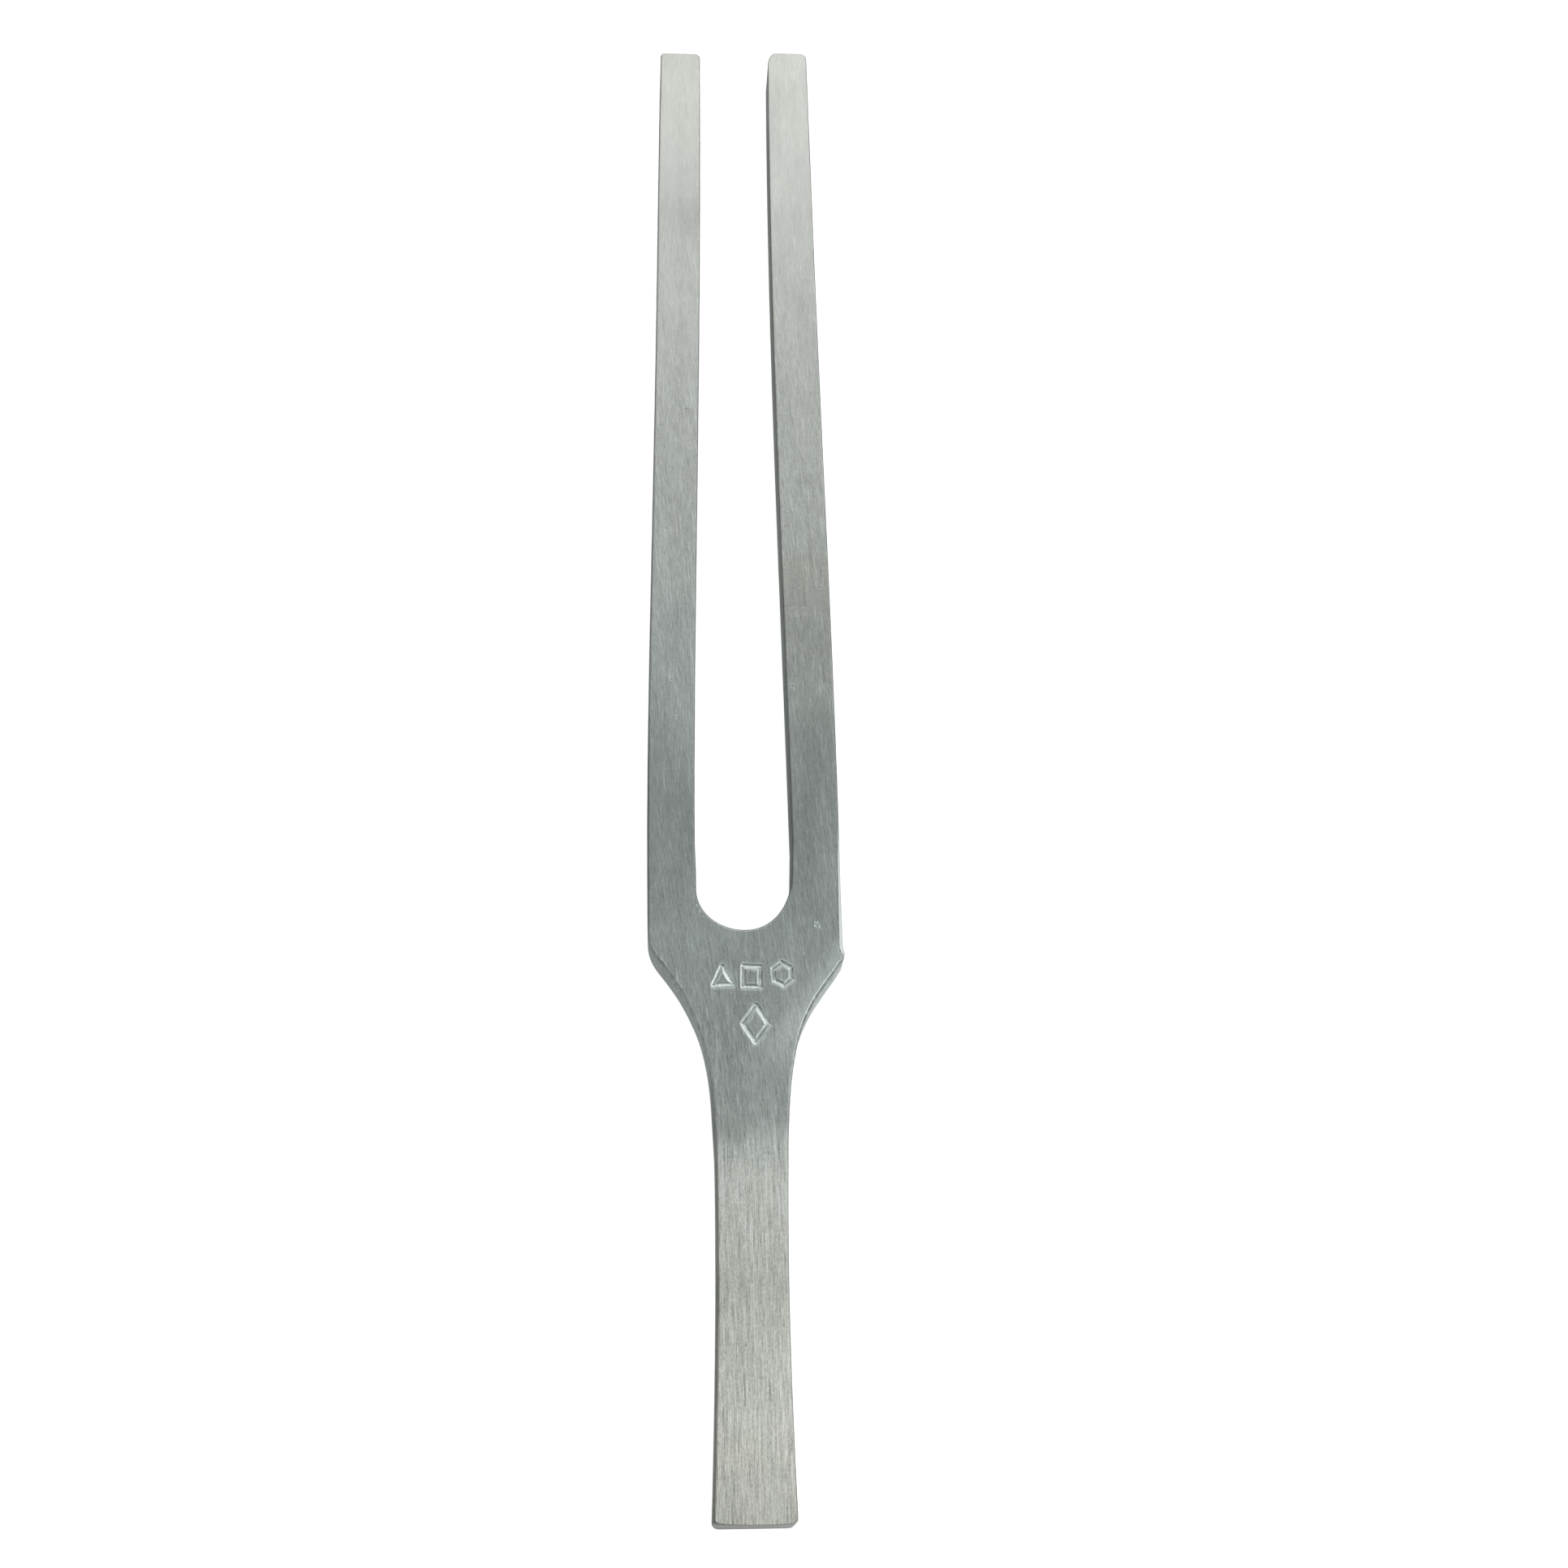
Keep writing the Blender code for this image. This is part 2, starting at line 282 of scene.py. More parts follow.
# triangle, square and hexagon in a row, and a tall lozenge below.  Columns:
# (sides, x, y, radius across, radius along, first corner's angle, lean in degrees),
# groove half width, depth, (depth gained per mm in x, in y)
MARKS = [stamped_mark(*row) for row in (
    ((3, -2.90, -6.55, 1.42, 1.60, 90, 3), 0.37, 0.21, (0.10, 0.06)),
    ((4, 0.76, -6.30, 1.52, 1.86, 45, -2), 0.37, 0.20, (0.07, -0.05)),
    ((6, 4.70, -5.95, 1.30, 1.50, 90, 5), 0.36, 0.20, (0.06, 0.10)),
    ((4, 1.19, -12.50, 1.62, 2.40, 90, -2), 0.39, 0.22, (-0.05, 0.05)),
)]
# mesh lines beside a groove's centre line, in half widths: bottom, walls, lips, flat beside
GROOVE_LINES = (0.0, 0.13, 0.26, 0.42, 0.60, 0.80, 1.0, 1.10, 1.2, 1.32, 1.45, 1.58, 1.75, 2.0)
# small dents: x, y, radius, depth, and whether they get a painted glint instead of painted shade
DENTS = (
    (9.10, 0.55, 0.14, 0.07, True), (9.42, 0.98, 0.12, 0.06, True),
    (9.62, 0.45, 0.13, 0.06, True), (9.05, 0.98, 0.09, 0.03, True),
    (-9.46, 35.4, 0.17, 0.05, False), (-8.81, 29.8, 0.14, 0.04, False),
    (6.80, 34.5, 0.17, 0.05, False), (7.05, 33.9, 0.10, 0.03, False),
    (-6.15, 3.35, 0.10, 0.05, True), (-5.78, 2.55, 0.09, 0.05, True),
    (-5.28, 1.80, 0.08, 0.04, True), (-7.28, 77.7, 0.16, 0.03, False),
    (-3.0, -4.9, 0.08, 0.03, False), (2.6, -24.4, 0.10, 0.03, False),
    (-0.6, -52.1, 0.12, 0.04, False), (2.1, -38.7, 0.09, 0.03, False),
    (-10.3, 9.2, 0.09, 0.03, False),
)
# a light curved scratch across the right tine, with a faint painted glint
SCRATCH = [(6.55 + 0.32 * i, 46.25 + 0.38 * math.sin(i * 0.33) - 0.02 * i) for i in range(9)]
SCRATCH_LEGS = list(zip(SCRATCH, SCRATCH[1:]))
SCRATCH_HALF = 0.15


def from_segment(x, y, start, end):
    """From the nearest place on the segment to each point."""
    left, low = start
    dx, dy = end[0] - left, end[1] - low
    along = np.clip(((x - left) * dx + (y - low) * dy) / (dx * dx + dy * dy), 0, 1)
    return x - left - along * dx, y - low - along * dy


def segment_distance(x, y, start, end):
    return np.hypot(*from_segment(x, y, start, end))


def press_mark(z, xs, ys, mark, number):
    """Lower the heights z into the mark's groove and raise its lips."""
    legs = [from_segment(xs, ys, *side) for side in mark.sides]
    nearest = np.argmin([np.hypot(*leg) for leg in legs], axis=0)
    off_x, off_y = (np.choose(nearest, [leg[axis] for leg in legs]) for axis in (0, 1))
    distance = np.hypot(off_x, off_y)
    for i in np.nonzero(distance < 3 * mark.half)[0]:
        x, y = xs[i], ys[i]
        rough = wobble(x, y, 0, 11 + number, 0.9)
        half = mark.half * (1 + 0.12 * rough)
        depth = mark.depth * (1 + mark.tilt[0] * (x - mark.centre[0])
                              + mark.tilt[1] * (y - mark.centre[1])
                              + 0.20 * wobble(x, y, 3, 17 + number, 1.2))
        share = distance[i] / half
        if share < 1:                       # the floor slopes down to the right and the tips
            slope = 0.80 + 0.62 * (0.62 * off_x[i] + 0.78 * off_y[i]) / half
            z[i] -= depth * min(1.0, (1 - share) / 0.42) * slope
        lip = max(0.0, 1 - ((share - 1.18) / 0.34) ** 2) ** 2
        z[i] += 0.024 * lip * (1 + 0.7 * rough)


def relief(xs, ys):
    """The top face at these points: height above flat, how freshly struck, and how dark.

    This painted shade is negative, a painted glint, where a dent or the scratch is bright.
    """
    z = np.zeros(len(xs))
    for number, mark in enumerate(MARKS):
        press_mark(z, xs, ys, mark, number)
    struck = np.clip(-z / 0.06, 0, 1)
    # painted shade in the dark dents, painted glint in the lit ones and along the scratch
    pit_shade_and_glint = np.zeros(len(xs))
    for x, y, radius, depth, lit in DENTS:
        share = np.hypot(xs - x, (ys - y) * 0.8) / radius
        lip = np.clip(1 - ((share - 1.25) / 0.4) ** 2, 0, 1)
        z -= depth * np.clip(1 - share, 0, 1) ** 1.5 - 0.012 * lip
        here = np.clip(1.5 - 1.5 * share, 0, 1)
        pit_shade_and_glint = np.where(here > 0, -here if lit else here, pit_shade_and_glint)
    distance = np.min([segment_distance(xs, ys, *leg) for leg in SCRATCH_LEGS], axis=0)
    scratch = np.clip(1 - distance / SCRATCH_HALF, 0, 1)
    return z - 0.010 * scratch, struck, pit_shade_and_glint - 0.06 * scratch


def parallel(path, off):
    """A closed convex path moved sideways by off, outwards if positive, mitred."""
    moved = []
    for i, (x, y) in enumerate(path):
        (x0, y0), (x2, y2) = path[i - 1], path[(i + 1) % len(path)]
        before = Vector((y - y0, x0 - x)).normalized()
        after = Vector((y2 - y, x - x2)).normalized()
        mitre = (before + after).normalized()
        reach = off / max(0.6, mitre.dot(after))
        moved.append((x + mitre.x * reach, y + mitre.y * reach))
    return moved


def groove_lines():
    """Closed lines that follow each stamped groove."""
    lines = []
    for mark in MARKS:
        room = min(segment_distance(*mark.centre, *side) for side in mark.sides)
        for share in GROOVE_LINES:
            for side in (1, -1) if 0 < share * mark.half < 0.88 * room else (1,):
                path = parallel(mark.path, side * share * mark.half)
                ring = []
                for (x0, y0), (x1, y1) in zip(path, path[1:] + path[:1]):
                    count = max(1, int(math.hypot(x1 - x0, y1 - y0) / 0.09))
                    ring += [(x0 + (x1 - x0) * i / count, y0 + (y1 - y0) * i / count)
                             for i in range(count)]
                lines.append(ring)
    return lines


def dent_points():
    """Face points, close together at the dents and along the scratch."""
    points = []
    for x, y, radius, _, _ in DENTS:
        points.append((x, y))
        for k in range(1, 8):
            for i in range(6 + 2 * k):
                angle = 2 * math.pi * i / (6 + 2 * k) + k
                points.append((x + radius * 0.27 * k * math.cos(angle),
                               y + radius * 0.27 * k / 0.8 * math.sin(angle)))
    for (x0, y0), (x1, y1) in SCRATCH_LEGS:
        for i in range(5):
            for off in (-0.18, -0.11, -0.06, 0.0, 0.06, 0.11, 0.18):
                points.append((x0 + (x1 - x0) * i / 5, y0 + (y1 - y0) * i / 5 + off))
    return points


# ------------------------------------------------------------------ flat faces
def inside(loop, points):
    x, y = points[:, 0], points[:, 1]
    odd = np.zeros(len(points), bool)
    for (x1, y1), (x2, y2) in zip(loop, np.roll(loop, -1, 0)):
        if y1 == y2:
            continue
        crosses = (y1 > y) != (y2 > y)
        odd ^= crosses & (x < (x2 - x1) * (y - y1) / (y2 - y1) + x1)
    return odd


def clearance(points, x, y):
    return np.hypot(points[:, 0] - x, points[:, 1] - y).min()


def face_mesh(loop, lines, dots, coarse=1.6):
    """Triangles inside loop that use all its points, follow the lines and include the dots.

    Returns the points, the triangles, and the index of each loop point.
    """
    points, edges = [tuple(point) for point in loop], []
    count = len(points)
    for line in lines:
        first = len(points)
        points += line
        edges += [(first + i, first + (i + 1) % len(line)) for i in range(len(line))]
    fine = list(points[count:])
    cells = set()
    if dots:
        dots = np.array(dots)
        for x, y in dots[inside(loop, dots)]:
            cell = (round(x / 0.03), round(y / 0.03))
            if clearance(loop, x, y) > 0.03 and cell not in cells:
                cells.add(cell)
                fine.append((x, y))
                points.append((x, y))
    low, high = loop.min(0), loop.max(0)
    grid_x, grid_y = np.meshgrid(np.arange(low[0], high[0], coarse),
                                 np.arange(low[1], high[1], coarse))
    grid_x[1::2] += coarse / 2
    grid = np.c_[grid_x.ravel(), grid_y.ravel()]
    fine = np.array(fine) if fine else np.full((1, 2), 1e6)
    for x, y in grid[inside(loop, grid)]:
        if clearance(loop, x, y) > coarse * 0.5 and clearance(fine, x, y) > 0.35:
            points.append((x, y))
    flat = [Vector((float(x), float(y))) for x, y in points]
    made, _, faces, origins, _, _ = delaunay_2d_cdt(flat, edges, [list(range(count))], 1, 1e-7)
    index = {old: new for new, olds in enumerate(origins) for old in olds}
    made = np.array([tuple(point) for point in made])
    return made, [list(face) for face in faces], [index[i] for i in range(count)]


# ------------------------------------------------------------------ one continuous fork
def filed_outline():
    """The resampled outline with the slight waver of filed edges."""
    loop = resample(outline())
    out = normals(loop)
    for i, (x, y) in enumerate(loop):
        swing = 0.035 if (-28 < y < -3.8) else 0.012
        loop[i] = loop[i] + out[i] * (swing * wobble(x, y, 0, 21, 3.2)
                                      + 0.006 * wobble(x, y, 0, 23, 0.9))
    return loop


def wall_rings(loop, bends=6, face_in=0.05):
    """Rings from the bottom face up to the top: offset, height, how far round the arris, which
    weights the arris's painted shade and highlight and its wear.
    """
    top, bottom = arris(loop, True), arris(loop, False)
    count = len(loop)

    def arc(radius, angle):
        return (-(radius * (1 - math.cos(angle))), radius * (1 - math.sin(angle)),
                math.sin(2 * angle))

    rings = [(-(bottom + face_in), np.zeros(count), 0.0)]
    rings += [arc(bottom, math.pi / 2 * (1 - k / bends)) for k in range(bends + 1)]
    rings += [(np.zeros(count), bottom + (THICK - top - bottom) * k / 3, 0.0) for k in (1, 2)]
    for k in range(bends + 1):
        offset, drop, arris_sheen_and_wear = arc(top, math.pi / 2 * k / bends)
        rings.append((offset, THICK - drop, arris_sheen_and_wear))
    rings.append((-(top + face_in), np.full(count, THICK), 0.0))
    return rings


def build_fork():
    loop = filed_outline()
    out = normals(loop)
    rings = wall_rings(loop)
    count, last = len(loop), len(rings) - 1
    # weights of the painted shade and highlight line where the faces meet the rounded edges
    rims = {1: 1.0, last - 1: 1.0, 2: 0.4, last - 2: 0.4}
    rows, faces, loops = [], [], []      # a row is x, y, z, worn, struck, pit, rim
    for k, (offset, heights, arris_sheen_and_wear) in enumerate(rings):
        ring = loop + out * offset[:, None]
        loops.append(ring)
        rows += [(x, y, z, arris_sheen_and_wear, 0.0, 0.0, rims.get(k, 0.0)) for (x, y), z in zip(ring, heights)]
    for k in range(last):
        low, high = k * count, (k + 1) * count
        for i in range(count):
            j = (i + 1) % count
            faces.append((low + i, low + j, high + j, high + i))
    for ring, up in ((last, True), (0, False)):
        points, triangles, rim = face_mesh(loops[ring], groove_lines() if up else [],
                                           dent_points() if up else [])
        ids = {point: ring * count + i for i, point in enumerate(rim)}
        rest = [i for i in range(len(points)) if i not in ids]
        lift = relief(*points[rest].T) if up else np.zeros((3, len(rest)))
        for i, height, struck, pit_shade_and_glint in zip(rest, *lift):
            ids[i] = len(rows)
            rows.append((*points[i], (THICK if up else 0.0) + height, 0.0, struck, pit_shade_and_glint, 0.0))
        for triangle in triangles:
            face = [ids[i] for i in triangle]
            faces.append(face if up else face[::-1])
    rows = np.array(rows)
    rows[:, 1] += SLOT_Y
    rows[:, :3] *= MM
    rows[:, 2] += yoke_low.z
    whole = bmesh.new()
    layers = [whole.verts.layers.float.new(name) for name in ("arris_sheen_and_wear", "struck", "pit_shade_and_glint", "rim")]
    for row in rows:
        vert = whole.verts.new(row[:3])
        for layer, value in zip(layers, row[3:]):
            vert[layer] = float(value)
    whole.verts.ensure_lookup_table()
    for face in faces:
        whole.faces.new([whole.verts[i] for i in face])
    whole.normal_update()
    return whole


def add_object(name, data):
    obj = bpy.data.objects.new(name, data)
    bpy.context.scene.collection.objects.link(obj)
    return obj


def part_of(whole, cut_y, side, name, material):
    """A closed copy of the tine on one side above the cut, or all below it for side 0."""
    part = whole.copy()
    above = side != 0
    bmesh.ops.bisect_plane(part, geom=part.verts[:] + part.edges[:] + part.faces[:], dist=1e-9,
                           plane_co=(0, cut_y, 0), plane_no=(0, 1, 0),
                           clear_outer=not above, clear_inner=above)
    if above:
        other = [vert for vert in part.verts if vert.co.x * side < 0]
        bmesh.ops.delete(part, geom=other, context="VERTS")
    bmesh.ops.holes_fill(part, edges=[e for e in part.edges if e.is_boundary], sides=0)
    bmesh.ops.recalc_face_normals(part, faces=part.faces)
    mesh = bpy.data.meshes.new(name)
    part.to_mesh(mesh)
    part.free()
    mesh.materials.append(material)
    mesh.shade_smooth()
    mesh.set_sharp_from_angle(angle=math.radians(58))
    return add_object(name, mesh)


# ------------------------------------------------------------------ node helpers
class Net:
    """Short names for shader nodes; a value may be a number, a colour or a socket.

    Each call makes its own nodes.
    """

    def __init__(self, owner):
        owner.use_nodes = True
        self.tree = owner.node_tree
        self.tree.nodes.clear()

    def node(self, kind, inputs=(), **settings):
        node = self.tree.nodes.new(kind)
        for key, value in settings.items():
            setattr(node, key, value)
        for key, value in dict(inputs).items():
            if isinstance(value, bpy.types.NodeSocket):
                self.tree.links.new(value, node.inputs[key])
            elif value is not None:
                node.inputs[key].default_value = value
        return node

    def math(self, operation, first, second=None):
        return self.node("ShaderNodeMath", {0: first, 1: second}, operation=operation).outputs[0]

    def add(self, *terms):
        """The sum of the terms; a tuple stands for the product of its members."""
        terms = [self.mul(*term) if isinstance(term, tuple) else term for term in terms]
        total = terms[0]
        for term in terms[1:]:
            total = self.math("ADD", total, term)
        return total

    def mul(self, *factors):
        total = factors[0]
        for factor in factors[1:]:
            total = self.math("MULTIPLY", total, factor)
        return total

    def centred(self, value):
        return self.math("SUBTRACT", value, 0.5)

    def span(self, value, start, end, to=(0.0, 1.0), smooth=True):
        """As value goes from start to end, the result goes over the two values in to."""
        kind = "SMOOTHSTEP" if smooth else "LINEAR"
        inputs = enumerate((value, start, end, *to))
        return self.node("ShaderNodeMapRange", inputs, interpolation_type=kind).outputs[0]

    def xyz(self, *parts):
        return self.node("ShaderNodeCombineXYZ", enumerate(parts)).outputs[0]

    def split(self, vector):
        return self.node("ShaderNodeSeparateXYZ", {0: vector}).outputs

    def noise(self, vector, detail=2.0, rough=0.5, warp=0.0):
        inputs = {"Vector": vector, "Scale": 1.0, "Detail": detail, "Roughness": rough,
                  "Distortion": warp}
        return self.node("ShaderNodeTexNoise", inputs, noise_dimensions="3D").outputs[0]

    def pattern(self, point, scale, shift=None, **settings):
        """Noise scaled along each axis and shifted in z; two scales give the slice z = shift."""
        axes = [self.mul(part, factor) for part, factor in zip(point, scale)]
        if len(axes) == 2:
            axes.append(shift)
        elif shift is not None:
            axes[2] = self.add(axes[2], shift)
        return self.noise(self.xyz(*axes), **settings)

    def streaks(self, value, light, dark, depth):
        """Light streaks where value is high, and dark ones of the given depth where it is low."""
        return self.add(self.span(value, *light), (self.span(value, *dark), depth))

    def mix(self, factor, first, second, blend="MIX"):
        inputs = {0: factor, 6: first, 7: second}
        return self.node("ShaderNodeMix", inputs, data_type="RGBA", blend_type=blend).outputs[2]

    def tint(self, factor, colour, tint):
        """The colour multiplied by the tint as far as factor says."""
        return self.mix(factor, colour, self.mix(1.0, colour, (*tint, 1), "MULTIPLY"))

    def blend(self, factor, off, on):
        inputs = {0: factor, 2: off, 3: on}
        return self.node("ShaderNodeMix", inputs, data_type="FLOAT").outputs[0]

    def ramp(self, factor, stops):
        node = self.node("ShaderNodeValToRGB", {0: factor})
        elements = node.color_ramp.elements
        while len(elements) < len(stops):
            elements.new(0.5)
        for element, (place, _) in zip(elements, stops):
            element.position = place
        for element, (_, colour) in zip(elements, stops):
            element.color = (*colour, 1)
        return node.outputs[0]

    def attribute(self, name):
        return self.node("ShaderNodeAttribute", attribute_name=name).outputs["Fac"]


def rgb(*display):
    """Linear colour from 0-255 display values."""
    return tuple((c / 255 / 12.92) if c / 255 <= 0.04045 else ((c / 255 + 0.055) / 1.055) ** 2.4
                 for c in display)


# ------------------------------------------------------------------ brushed aluminium
# broad lighter and darker stretches of each tine: height in mm, factor
LEFT_TONES = ((0, 1.07), (18, 0.95), (32, 1.12), (45, 1.00), (72, 0.92), (104, 1.02),
              (110, 0.93), (123, 1.02))
RIGHT_TONES = ((0, 1.01), (27, 0.99), (33, 1.10), (45, 0.97), (58, 1.04), (80, 0.96),
               (108, 1.05))
TINE_TONE_SPAN = 140.0
# metal colours by share of the height range: from the handle's end up, in these two ranges;
# besides the metal's tint they hold a painted reflection, darker over the yoke and lighter
# towards the tips and on the handle
HANDLE_RANGE = (-72.0, -22.0)
HANDLE_TONES = (
    (0.00, rgb(203, 204, 197)), (0.16, rgb(220, 221, 213)), (0.34, rgb(217, 219, 212)),
    (0.55, rgb(208, 211, 204)), (0.70, rgb(223, 225, 219)), (0.82, rgb(222, 226, 220)),
    (0.93, rgb(203, 209, 205)),
)
WHOLE_RANGE = (-75.0, 145.0)
WHOLE_TONES = (
    (0.00, rgb(243, 243, 235)), (0.21, rgb(189, 194, 191)), (0.34, rgb(194, 202, 200)),
    (0.42, rgb(192, 199, 197)), (0.55, rgb(210, 216, 214)), (0.68, rgb(211, 216, 213)),
    (0.80, rgb(212, 215, 212)), (1.00, rgb(219, 220, 217)),
)
GRAIN_LEAN = math.radians(5.0)      # the tines' grain leans this far from the y axis
HANDLE_LEAN = -0.012
BUMP_DEPTH = 0.000022               # metres


def read_surface(net):
    """Position in mm, normal, the mesh's attributes, and masks from 0 to 1 for each region."""
    place = net.node("ShaderNodeTexCoord").outputs["Object"]
    x, y, z = (net.mul(part, 1000.0) for part in net.split(place))
    y = net.math("SUBTRACT", y, SLOT_Y)
    normal = net.node("ShaderNodeNewGeometry").outputs["Normal"]
    normal_x, normal_y, normal_z = net.split(normal)
    # the coarse handle finish begins at a ragged line across the neck, and so does the painted
    # reflection that makes the handle lighter and warmer
    rag = net.pattern((x, y, z), (3.4, 0.25, 3.4), detail=3.0, rough=0.75)
    line = net.add(y, (net.centred(rag), 8.5), (x, -0.10))
    return SimpleNamespace(
        x=x, y=y, z=z, xyz=(x, y, z), normal=normal, normal_y=normal_y, normal_z=normal_z,
        flat=net.span(net.math("ABSOLUTE", normal_z), 0.80, 0.97),
        arris_sheen_and_wear=net.attribute("arris_sheen_and_wear"), struck=net.attribute("struck"),
        pit_shade_and_glint=net.attribute("pit_shade_and_glint"), rim=net.attribute("rim"),
        handle=net.span(line, -25.0, -28.4),
        right=net.span(normal_x, 0.15, 0.65), left=net.span(normal_x, -0.15, -0.65),
        # the shoulders' filed sides
        ground=net.mul(net.span(y, 3.0, -4.5), net.span(y, -32.0, -14.0)))


def brush(net, at):
    """Add the brushing to at: fine and leaning on tines and yoke, straighter on the handle."""
    x, y, z = at.xyz
    lean_x = net.add(x, (y, 0.105), (y, y, -0.0003), (net.math("SINE", net.mul(y, 0.09)), 0.18))
    leaning = (lean_x, net.add(y, (x, -0.08)), z)
    at.fine = net.pattern(leaning, (4.6, 0.42, 4.6), detail=4.0, rough=0.78, warp=0.1)
    at.broad = net.pattern(leaning, (1.5, 0.10, 1.5), rough=0.55, warp=0.1)
    lines = net.pattern(leaning, (5.2, 0.22, 5.0), shift=40.0, detail=1.0)
    lines = net.streaks(lines, light=(0.63, 0.70), dark=(0.36, 0.30), depth=-0.7)
    hair = net.pattern(leaning, (8.6, 0.62, 8.6), rough=0.6, warp=0.05)

    straight = (net.add(x, (y, 0.012)), y, z)
    handle_fine = net.pattern(straight, (5.0, 0.26, 5.0), detail=4.0, rough=0.78, warp=0.1)
    handle_broad = net.pattern(straight, (2.4, 0.07, 2.4), rough=0.6)
    handle_lines = net.pattern(straight, (3.4, 0.13, 3.4), shift=70.0, detail=1.0)
    handle_bright = net.span(handle_lines, 0.62, 0.70)
    handle_dark = net.span(handle_lines, 0.36, 0.30)
    handle_hair = net.pattern(straight, (8.4, 0.34, 8.4), rough=0.6, warp=0.05)
    score = net.pattern(straight, (6.5, 0.09, 6.5), shift=20.0, detail=1.0)
    score = net.streaks(score, light=(0.66, 0.72), dark=(0.34, 0.29), depth=-0.8)

    # the tines are finished more finely towards the tips
    at.quiet = net.mul(net.span(y, 55.0, 125.0, to=(1.0, 0.36)),
                       net.span(y, 12.0, -16.0, to=(0.88, 1.22)))

    def finish(tines, handle, handle_gain):
        return net.blend(at.handle, net.mul(net.centred(tines), at.quiet),
                         net.mul(net.centred(handle), handle_gain))

    at.grain = finish(at.fine, handle_fine, handle_gain=1.15)
    at.thread = finish(hair, handle_hair, handle_gain=1.3)
    at.score = net.mul(at.handle, score)
    at.sweep = finish(at.broad, handle_broad, handle_gain=1.5)
    at.bright = net.blend(at.handle, net.mul(lines, net.mul(at.quiet, 1.1)), handle_bright)
    at.dark = net.mul(at.handle, handle_dark)
    at.cloud = net.pattern(at.xyz, (0.16, 0.05, 0.16))
    spotted = (net.blend(at.handle, lean_x, x), y, z)
    at.speck = net.centred(net.pattern(spotted, (4.6, 2.3, 4.6), rough=0.65))
    fleck = net.pattern(straight, (5.0, 0.75, 5.0), shift=9.0, detail=1.0)
    fleck = net.streaks(fleck, light=(0.63, 0.71), dark=(0.33, 0.27), depth=-0.8)
    at.fleck = net.mul(at.handle, fleck)


def right_half(net, at):
    return net.span(at.x, -1.0, 1.0)


def face_shade(net, at):
    """Brightness of the flat faces; also adds the rubbed patch's mask to at."""
    x, y = at.x, at.y
    shade = net.add(
        1.0, (at.grain, 0.72), (at.thread, 0.85), (at.score, 0.24), (at.sweep, 0.26),
        (net.centred(at.cloud), 0.27), (at.bright, 0.20), (at.dark, -0.18), (at.fleck, 0.20),
        (at.speck, net.blend(at.handle, net.mul(at.quiet, 0.52), 0.85)))
    # a lighter margin along the right shoulder and the neck beside it
    inward = net.add((net.math("SUBTRACT", x, 12.5), -0.82), (net.add(y, 4.0), 0.574))
    margin = net.mul(net.span(inward, 3.4, 0.2), net.span(y, -20.0, -12.0),
                     net.span(y, 2.0, -3.0))
    shade = net.add(shade, (margin, 0.42))
    # the right tine's middle is a shade darker than the left's
    shade = net.add(shade, (right_half(net, at), net.span(y, 10.0, 40.0),
                            net.span(y, 110.0, 70.0), -0.08))
    # each tine has its own uneven tone from root to tip
    ragged = net.pattern(at.xyz, (0.9, 0.2), shift=5.0, detail=3.0, rough=0.7)
    ragged = net.mul(net.centred(ragged), 3.0)
    level = net.add(y, ragged)
    shade = net.add(shade, (net.span(level, 115.0, 112.0), net.span(y, 85.0, 108.0), -0.045))
    share = net.span(level, 0.0, TINE_TONE_SPAN, smooth=False)
    # stored at half strength, since a ramp's colours stay below 1
    own = [net.ramp(share, [(height / TINE_TONE_SPAN, (tone / 2,) * 3) for height, tone in table])
           for table in (LEFT_TONES, RIGHT_TONES)]
    own = net.mul(net.blend(right_half(net, at), *own), 2.0)
    shade = net.mul(shade, net.blend(net.span(y, 1.0, -5.0), own, 1.0))
    # a rubbed patch on the right tine, with swirls instead of grain
    far = net.add(net.math("ABSOLUTE", net.math("SUBTRACT", y, 49.8)), ragged)
    at.rub = net.mul(net.span(far, 5.2, 3.8), net.span(x, 2.0, 4.0))
    swirl = net.pattern(at.xyz, (1.7, 1.5), shift=4.0, rough=0.6, warp=3.0)
    shade = net.add(shade, (at.rub, net.add(-0.06, (net.centred(swirl), 0.42),
                                            (at.grain, -0.45), (at.thread, -0.5))))
    # soft cloudy streaks towards the tips
    haze = net.centred(net.pattern(at.xyz, (0.55, 0.13, 0.5), detail=3.0, rough=0.6))
    return net.add(shade, (haze, net.span(y, 60.0, 110.0, to=(0.06, 0.24))))


def wall_shade(net, at):
    """Brightness of the sides: paler at the filed shoulders, with painted light: the tines' and
    yoke's right-facing sides darker, all sides lighter low down, the stem's end pale.
    """
    blotch = net.pattern(at.xyz, (1.3, 1.3, 0.45), detail=4.0, rough=0.75)
    # painted shade: on the tines and yoke the sides facing right are a shade darker
    plain = net.blend(at.handle, net.blend(at.right, 0.80, 0.70), 0.95)
    shade = net.add(
        net.blend(at.ground, plain, net.blend(at.right, 1.42, 1.40)),
        (net.centred(at.broad), 0.4), (net.centred(at.fine), 0.4),
        (net.centred(blotch), net.blend(at.ground, 0.4, 1.9)))
    # painted shade and light: the sides are darker near the top face and lighter low down
    shade = net.mul(shade, net.span(at.z, 6.0, 0.5, to=(0.88, 1.22)))
    # painted highlight: the stem's end wall is pale, less so along its bottom edge
    end = net.mul(net.span(at.normal_y, -0.35, -0.8), net.span(at.y, -71.4, -72.2))
    return net.mul(shade, net.blend(end, 1.0, net.span(at.z, 0.2, 1.4, to=(1.15, 1.75))))


